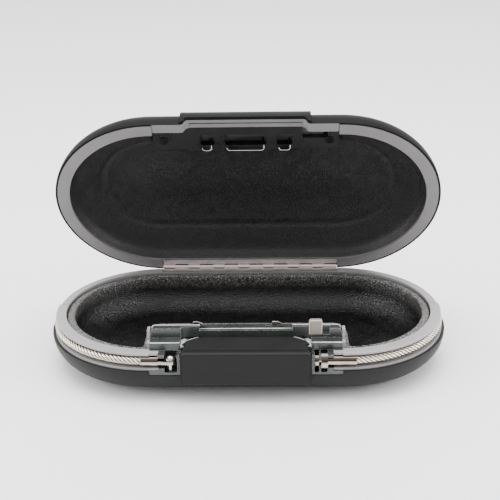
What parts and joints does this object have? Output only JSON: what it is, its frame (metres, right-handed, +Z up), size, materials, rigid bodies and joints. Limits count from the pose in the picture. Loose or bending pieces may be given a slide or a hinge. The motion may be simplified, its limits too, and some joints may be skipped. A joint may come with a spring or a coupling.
{
  "type": "travel safe",
  "caption": "Oblong clamshell travel safe, open on its long hinge, with a dial lock behind a hooded front and a steel cable held in a channel round the rim.",
  "frame": {"origin": "on the table, at the centre of the flat bottom of the base", "axes": "+X to the right along the hinge, seen from the front; +Y to the hinge side; +Z up"},
  "size_m": [0.242, 0.1416, 0.1491],
  "materials": {
    "shell": "satin",
    "rim": "satin",
    "foam": "matte",
    "hinge_steel": "satin",
    "cable_steel": "satin",
    "housing": "gloss",
    "hood": "satin",
    "light_trim": "satin",
    "lever": "satin",
    "dial": "satin",
    "button": "satin",
    "strike": "satin",
    "zinc_steel": "satin"
  },
  "bodies": {
    "base": {"base_shell": "shell", "base_screws": "zinc_steel", "front_rim_left": "rim", "front_rim_right": "rim", "rear_rim": "rim", "base_liner": "foam", "hinge_leaf_base": "hinge_steel", "hinge_pin": "hinge_steel", "cable": "cable_steel", "cable_eye": "cable_steel", "eye_rivet": "cable_steel", "cable_plug": "cable_steel", "lock_housing": "housing", "lock_back_plate": "housing", "back_plate_screws": "zinc_steel", "hood": "hood", "hood_bezel": "light_trim", "cover_pin": "zinc_steel", "dial_spindle": "zinc_steel", "dial_detent": "zinc_steel", "latch_spring": "zinc_steel"},
    "lid": {"lid_shell": "shell", "lid_rim": "rim", "lid_liner": "foam", "hinge_leaf_lid": "hinge_steel", "strike_plate": "strike", "strike_bracket": "zinc_steel", "strike_screws": "zinc_steel"},
    "cover": {"dial_cover": "hood"},
    "dial_wheel_left": {"dial_left": "dial"},
    "dial_wheel_middle": {"dial_middle": "dial"},
    "dial_wheel_right": {"dial_right": "dial"},
    "button": {"open_button": "button"},
    "latch": {"latch_slide": "zinc_steel"},
    "lever": {"reset_lever": "lever"}
  },
  "joints": [
    {"name": "lid_hinge", "type": "hinge", "parent": "base", "child": "lid", "pos_m": [0, 0.0628, 0.0302], "axis": [-1, 0, 0], "range_deg": [-63.7, 46.3]},
    {"name": "dial_cover_hinge", "type": "hinge", "parent": "base", "child": "cover", "pos_m": [0, -0.0656, 0.0135], "axis": [1, 0, 0], "range_deg": [0, 95]},
    {"name": "dial_left_turn", "type": "hinge", "parent": "base", "child": "dial_wheel_left", "pos_m": [-0.0136, -0.0574, 0.0215], "axis": [1, 0, 0], "continuous": true},
    {"name": "dial_middle_turn", "type": "hinge", "parent": "base", "child": "dial_wheel_middle", "pos_m": [-0.004, -0.0574, 0.0215], "axis": [1, 0, 0], "continuous": true},
    {"name": "dial_right_turn", "type": "hinge", "parent": "base", "child": "dial_wheel_right", "pos_m": [0.0056, -0.0574, 0.0215], "axis": [1, 0, 0], "continuous": true},
    {"name": "button_press", "type": "slide", "parent": "base", "child": "button", "axis": [0, 1, 0], "range_m": [0, 0.003], "stiffness_N_per_m": 300, "springref_m": -0.004},
    {"name": "latch_slide_travel", "type": "slide", "parent": "base", "child": "latch", "axis": [-1, 0, 0], "range_m": [0, 0.0036], "deforming": ["latch_spring"]},
    {"name": "reset_lever_slide", "type": "slide", "parent": "base", "child": "lever", "axis": [1, 0, 0], "range_m": [0, 0.004]}
  ],
  "couplings": [
    {"joint": "latch_slide_travel", "follows": "button_press", "ratio": 1.2}
  ]
}
